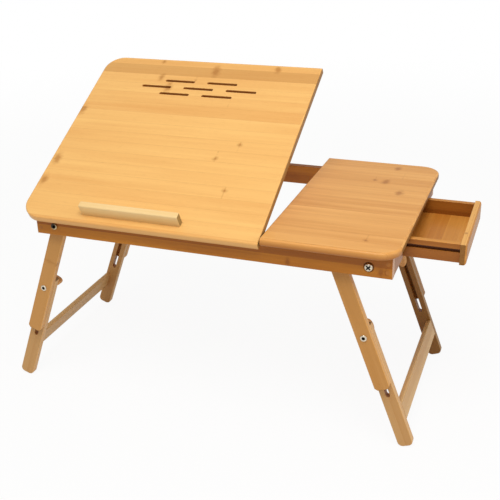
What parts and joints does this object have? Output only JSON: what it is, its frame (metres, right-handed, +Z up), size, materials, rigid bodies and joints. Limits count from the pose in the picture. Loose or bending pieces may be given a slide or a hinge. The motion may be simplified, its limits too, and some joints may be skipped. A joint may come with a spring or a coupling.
{
  "type": "laptop stand with drawer",
  "caption": "Folding bamboo laptop stand with a tilting top, a fixed side top over a sliding drawer, and spreading legs that lengthen and clamp with wooden knobs.",
  "frame": {"origin": "on the floor under the middle of the stand's whole box, legs spread and extended, left top raised, drawer part-way out", "axes": "+X from the tilting top towards the drawer side, +Y from the ledge edge towards the back, +Z up"},
  "size_m": [0.6919, 0.3528, 0.4698],
  "materials": {
    "bamboo_drawer": "plain sanded bamboo",
    "bamboo_drawer_front": "satin lacquered bamboo",
    "bamboo_frame": "satin lacquered bamboo laminate",
    "bamboo_inner": "plain sanded bamboo",
    "bamboo_leg": "satin lacquered bamboo strip",
    "bamboo_prop": "plain sanded bamboo",
    "bamboo_top": "satin lacquered bamboo laminate",
    "bolt_steel": "zinc plated",
    "bright_screw": "bright plated",
    "hinge_steel": "plated",
    "knob_wood": "satin lacquered wood",
    "pale_wood": "satin lacquered pale bamboo",
    "peg_wood": "plain turned wood"
  },
  "bodies": {
    "frame": {"fixed_top": "bamboo_top", "front_rail": "bamboo_frame", "back_rail": "bamboo_frame", "left_end_board": "bamboo_frame", "right_end_board_front": "bamboo_frame", "right_end_board_back": "bamboo_frame", "divider_board": "bamboo_inner", "drawer_guide_front": "bamboo_inner", "drawer_guide_back": "bamboo_inner", "drawer_runners": "bamboo_inner", "stop_block_front": "bamboo_inner", "stop_block_back": "bamboo_inner", "prop_rack_left": "bamboo_inner", "prop_rack_right": "bamboo_inner", "hinge_frame_leaves": "hinge_steel", "hinge_frame_screws": "hinge_steel", "hinge_pins": "hinge_steel", "left_pivot_bolts": "bolt_steel", "left_pivot_nuts": "bolt_steel", "right_pivot_bolts": "bolt_steel", "right_pivot_inserts": "bolt_steel", "pivot_washers": "bolt_steel", "stop_block_screws": "bright_screw", "frame_dowels": "peg_wood"},
    "tilt_panel": {"tilting_top": "bamboo_top", "hinge_top_leaves": "hinge_steel", "hinge_top_screws": "hinge_steel", "prop_bracket_left": "bamboo_inner", "prop_bracket_right": "bamboo_inner", "prop_pivot_pins": "hinge_steel"},
    "prop": {"prop_arm_left": "bamboo_prop", "prop_arm_right": "bamboo_prop", "prop_cross_rail": "bamboo_prop", "prop_foot_bar": "bamboo_prop"},
    "ledge": {"stop_ledge": "pale_wood", "ledge_pegs": "peg_wood"},
    "drawer": {"drawer_front": "bamboo_drawer_front", "drawer_side_front": "bamboo_drawer", "drawer_side_back": "bamboo_drawer", "drawer_back": "bamboo_drawer", "drawer_bottom": "bamboo_drawer"},
    "left_upper_legs": {"left_upper_leg_front": "bamboo_leg", "left_upper_leg_back": "bamboo_leg", "left_clamp_bolts": "bolt_steel"},
    "left_lower_legs": {"left_lower_leg_front": "bamboo_leg", "left_lower_leg_back": "bamboo_leg", "left_crossbar": "bamboo_leg"},
    "left_front_knob": {"left_knob_front": "knob_wood"},
    "left_back_knob": {"left_knob_back": "knob_wood"},
    "right_upper_legs": {"right_upper_leg_front": "bamboo_leg", "right_upper_leg_back": "bamboo_leg", "right_clamp_bolts": "bolt_steel"},
    "right_lower_legs": {"right_lower_leg_front": "bamboo_leg", "right_lower_leg_back": "bamboo_leg", "right_crossbar": "bamboo_leg"},
    "right_front_knob": {"right_knob_front": "knob_wood"},
    "right_back_knob": {"right_knob_back": "knob_wood"}
  },
  "joints": [
    {"name": "tilt_hinge", "type": "hinge", "parent": "frame", "child": "tilt_panel", "pos_m": [-0.20305, -0.16155, 0.301], "axis": [1, 0, 0], "range_deg": [-28.25, 8.75]},
    {"name": "prop_hinge", "type": "hinge", "parent": "tilt_panel", "child": "prop", "pos_m": [-0.0953, -0.03122, 0.36479], "axis": [-1, 0, 0], "range_deg": [-71.7, 22.35]},
    {"name": "ledge_lift", "type": "slide", "parent": "tilt_panel", "child": "ledge", "axis": [0, -0.4733, 0.8809], "range_m": [0, 0.025]},
    {"name": "drawer_slide", "type": "slide", "parent": "frame", "child": "drawer", "axis": [1, 0, 0], "range_m": [-0.074, 0.06]},
    {"name": "left_leg_fold", "type": "hinge", "parent": "frame", "child": "left_upper_legs", "pos_m": [-0.23157, 0.00145, 0.285], "axis": [0, -1, 0], "range_deg": [0, 110.5]},
    {"name": "left_leg_retract", "type": "slide", "parent": "left_upper_legs", "child": "left_lower_legs", "axis": [0.3502, 0, 0.9367], "range_m": [0, 0.098]},
    {"name": "left_front_knob_turn", "type": "hinge", "parent": "left_upper_legs", "child": "left_front_knob", "pos_m": [-0.27394, -0.11695, 0.17166], "axis": [0, 1, 0], "range_deg": [0, 360]},
    {"name": "left_back_knob_turn", "type": "hinge", "parent": "left_upper_legs", "child": "left_back_knob", "pos_m": [-0.27394, 0.11985, 0.17166], "axis": [0, -1, 0], "range_deg": [0, 360]},
    {"name": "right_leg_fold", "type": "hinge", "parent": "frame", "child": "right_upper_legs", "pos_m": [0.18296, 0.00145, 0.285], "axis": [0, 1, 0], "range_deg": [0, 110.5]},
    {"name": "right_leg_retract", "type": "slide", "parent": "right_upper_legs", "child": "right_lower_legs", "axis": [-0.3502, 0, 0.9367], "range_m": [0, 0.098]},
    {"name": "right_front_knob_turn", "type": "hinge", "parent": "right_upper_legs", "child": "right_front_knob", "pos_m": [0.22533, -0.11695, 0.17166], "axis": [0, 1, 0], "range_deg": [0, 360]},
    {"name": "right_back_knob_turn", "type": "hinge", "parent": "right_upper_legs", "child": "right_back_knob", "pos_m": [0.22533, 0.11985, 0.17166], "axis": [0, -1, 0], "range_deg": [0, 360]}
  ],
  "couplings": [
    {"joint": "prop_hinge", "follows": "tilt_hinge", "ratio": 2.5309}
  ]
}
